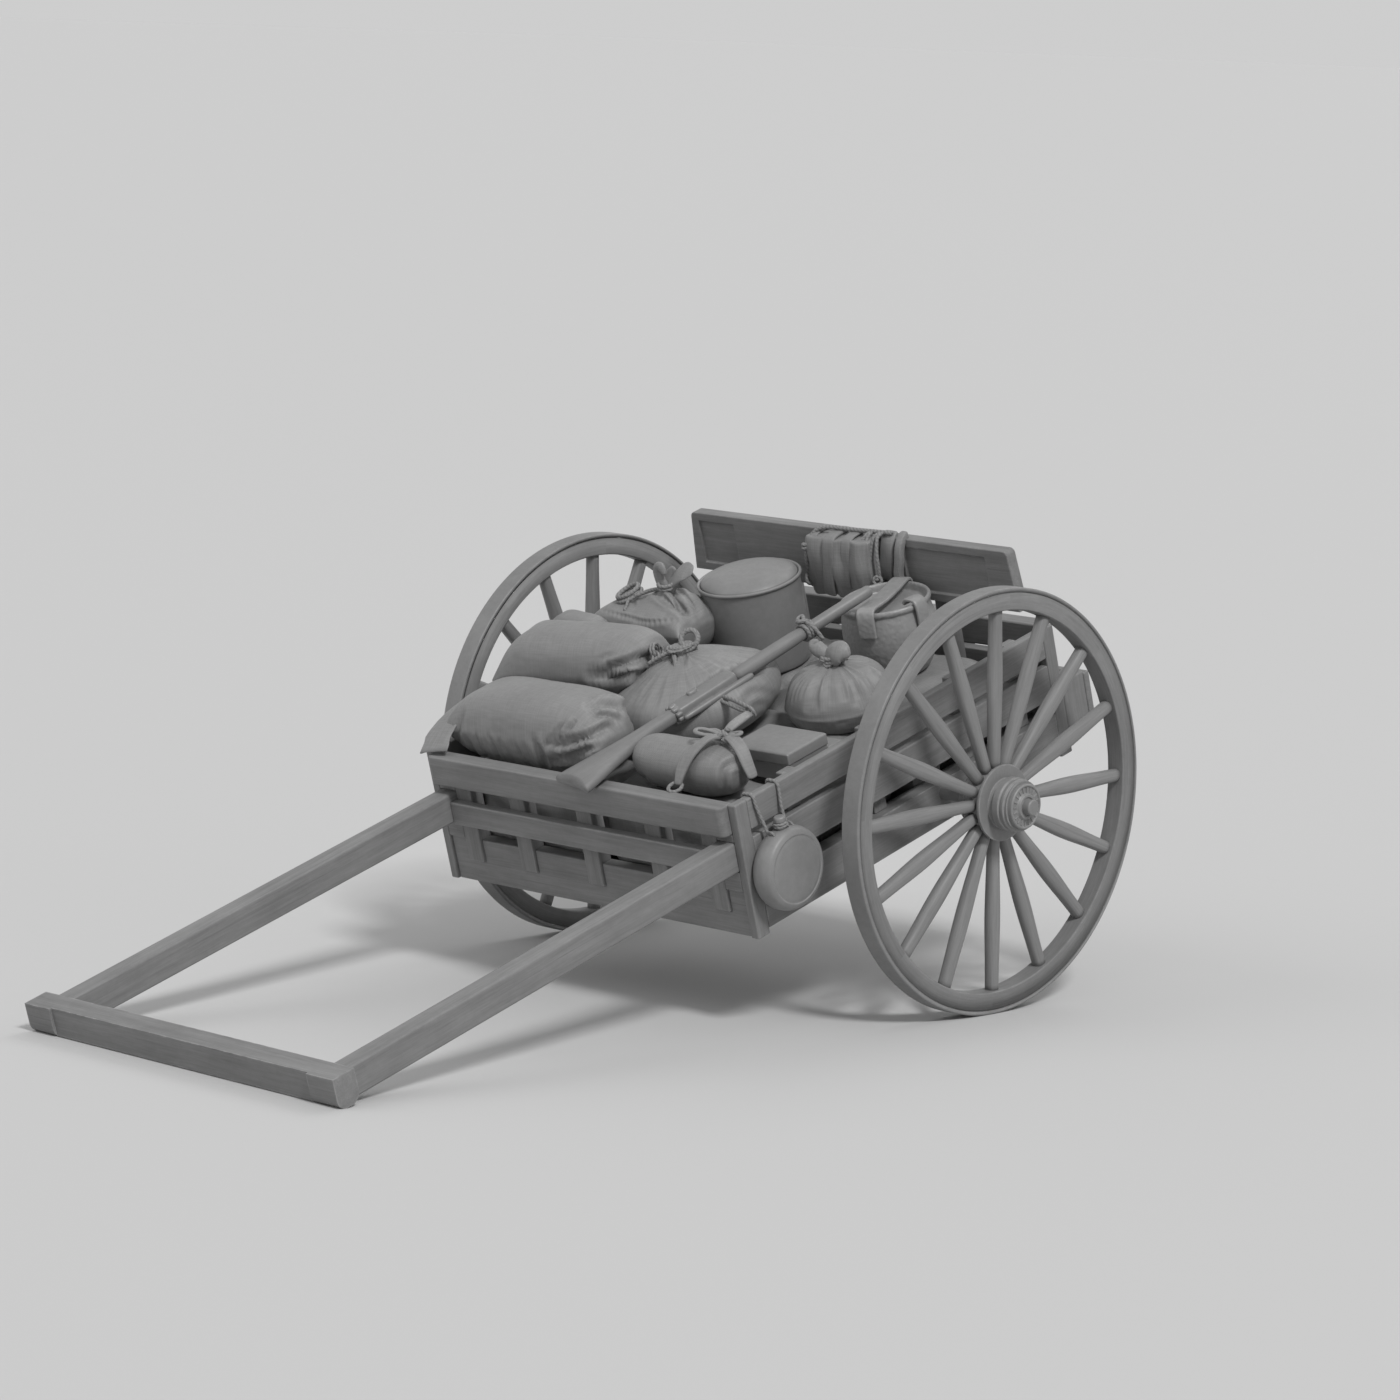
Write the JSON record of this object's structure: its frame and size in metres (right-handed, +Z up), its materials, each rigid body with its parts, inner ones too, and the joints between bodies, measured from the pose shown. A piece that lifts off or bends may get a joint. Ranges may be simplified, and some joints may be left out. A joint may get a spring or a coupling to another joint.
{
  "type": "two-wheeled supply cart",
  "caption": "Hand-pulled timber supply cart with spoked wheels, shafts and crossbar, an open slatted box and a raised tailboard, loaded with sacks, cookware and bedding.",
  "frame": {"origin": "centre of the bounding box on the floor, under the cart", "axes": "+X to the cart's right-hand wheel as seen from the front, -Y to the crossbar and the front, +Z up"},
  "size_m": [1.86, 2.962, 1.2802],
  "materials": {
    "timber": "weathered grey timber",
    "iron": "dull worn iron",
    "canvas": "coarse grey canvas",
    "blanket": "grey wool blanket",
    "tinware": "dull tinned steel",
    "gun_steel": "worn dark steel",
    "gun_wood": "oiled grey-brown wood",
    "rope": "twisted hemp"
  },
  "bodies": {
    "cart": {"axle": "iron", "axle_bed": "timber", "backpack": "canvas", "bedroll": "blanket", "canteen": "tinware", "canteen_cords": "rope", "cook_pot": "tinware", "corner_posts": "timber", "crossbar": "timber", "floor_bearers": "timber", "floor_planks": "timber", "flour_sack_back": "canvas", "flour_sack_front": "canvas", "folded_tarp": "blanket", "front_apron": "timber", "front_mid_rail": "timber", "front_posts": "timber", "front_top_rail": "timber", "gun_barrel": "gun_steel", "gun_stock": "gun_wood", "kettle": "tinware", "lower_sacks": "canvas", "pot_lid": "tinware", "rear_apron": "timber", "rear_mid_rail": "timber", "rear_posts": "timber", "rear_top_rail": "timber", "round_sack": "canvas", "shaft_blocks": "timber", "shaft_left": "timber", "shaft_right": "timber", "side_mid_board_left": "timber", "side_mid_board_right": "timber", "side_top_rail_left": "timber", "side_top_rail_right": "timber", "sill_left": "timber", "sill_right": "timber", "small_sack": "canvas", "stakes": "timber", "tail_batten": "timber", "tail_brackets": "timber", "tail_step": "timber", "tailboard": "timber", "tailboard_posts": "timber", "tied_bag": "canvas", "tied_sack": "canvas", "tin_box": "tinware"},
    "wheel_left": {"felloe_left": "timber", "hub_cap_left": "iron", "hub_left": "timber", "spokes_left": "timber", "tyre_left": "iron"},
    "wheel_right": {"felloe_right": "timber", "hub_cap_right": "iron", "hub_right": "timber", "spokes_right": "timber", "tyre_right": "iron"}
  },
  "joints": [
    {"name": "wheel_left_turn", "type": "hinge", "parent": "cart", "child": "wheel_left", "pos_m": [-0.784, 0.82026, 0.6], "axis": [1, 0, 0], "continuous": true},
    {"name": "wheel_right_turn", "type": "hinge", "parent": "cart", "child": "wheel_right", "pos_m": [0.784, 0.82026, 0.6], "axis": [1, 0, 0], "continuous": true}
  ]
}
